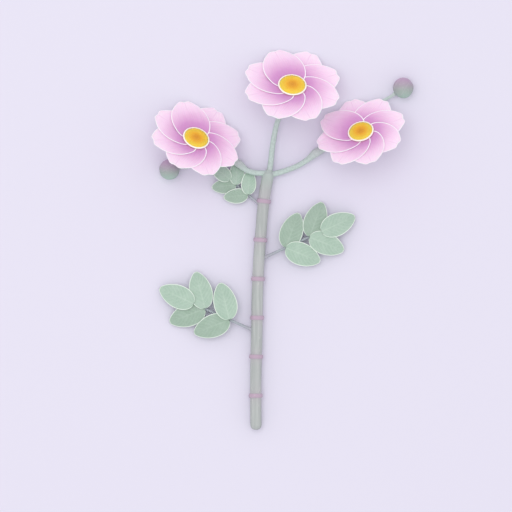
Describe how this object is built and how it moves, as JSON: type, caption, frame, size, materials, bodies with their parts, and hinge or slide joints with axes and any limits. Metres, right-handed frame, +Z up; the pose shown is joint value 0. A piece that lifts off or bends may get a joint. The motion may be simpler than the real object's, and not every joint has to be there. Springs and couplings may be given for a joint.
{
  "type": "tree dahlia flower stem",
  "caption": "Cut stem of tree dahlia lying on a surface: jointed cane, open pink flower heads with yellow middles, round buds and pinnate leaves.",
  "frame": {"origin": "centre of the footprint, on the surface the stem lies on", "axes": "+Y along the cane from its cut end to the top flower; +Z up, out of the faces of the flowers"},
  "size_m": [0.3398, 0.496, 0.0833],
  "materials": {
    "cane": "matt grey-green bark with mauve-pink node rings",
    "flower_stalk": "matt grey-green",
    "petal": "soft pink, orchid at the base, pale rim",
    "disc": "yellow florets, orange in the middle",
    "green_cup": "matt grey-green bracts",
    "bud": "mauve above, grey-green below, smooth",
    "leaf_stalk": "matt grey-green",
    "light_leaflet": "matt pale green, pale edge",
    "dark_leaflet": "matt grey-green, pale edge"
  },
  "bodies": {
    "root": {"cane": "cane", "top_flower_petal_1": "petal", "top_flower_petal_2": "petal", "top_flower_petal_3": "petal", "top_flower_petal_4": "petal", "top_flower_petal_5": "petal", "top_flower_petal_6": "petal", "top_flower_petal_7": "petal", "top_flower_petal_8": "petal", "top_flower_disc": "disc", "top_flower_green_cup": "green_cup", "top_flower_stalk": "flower_stalk", "left_flower_petal_1": "petal", "left_flower_petal_2": "petal", "left_flower_petal_3": "petal", "left_flower_petal_4": "petal", "left_flower_petal_5": "petal", "left_flower_petal_6": "petal", "left_flower_petal_7": "petal", "left_flower_petal_8": "petal", "left_flower_disc": "disc", "left_flower_green_cup": "green_cup", "left_flower_stalk": "flower_stalk", "right_flower_petal_1": "petal", "right_flower_petal_2": "petal", "right_flower_petal_3": "petal", "right_flower_petal_4": "petal", "right_flower_petal_5": "petal", "right_flower_petal_6": "petal", "right_flower_petal_7": "petal", "right_flower_petal_8": "petal", "right_flower_disc": "disc", "right_flower_green_cup": "green_cup", "right_flower_stalk": "flower_stalk", "right_bud": "bud", "right_bud_stalk": "flower_stalk", "left_bud": "bud", "left_bud_stalk": "flower_stalk", "lower_left_leaf_stalk": "leaf_stalk", "lower_left_leaf_leaflet_1": "light_leaflet", "lower_left_leaf_leaflet_2": "light_leaflet", "lower_left_leaf_leaflet_3": "light_leaflet", "lower_left_leaf_leaflet_4": "dark_leaflet", "lower_left_leaf_leaflet_5": "dark_leaflet", "right_leaf_stalk": "leaf_stalk", "right_leaf_leaflet_1": "dark_leaflet", "right_leaf_leaflet_2": "dark_leaflet", "right_leaf_leaflet_3": "light_leaflet", "right_leaf_leaflet_4": "light_leaflet", "right_leaf_leaflet_5": "light_leaflet", "upper_left_leaf_stalk": "leaf_stalk", "upper_left_leaf_leaflet_1": "light_leaflet", "upper_left_leaf_leaflet_2": "light_leaflet", "upper_left_leaf_leaflet_3": "light_leaflet", "upper_left_leaf_leaflet_4": "dark_leaflet", "upper_left_leaf_leaflet_5": "dark_leaflet"}
  },
  "joints": []
}
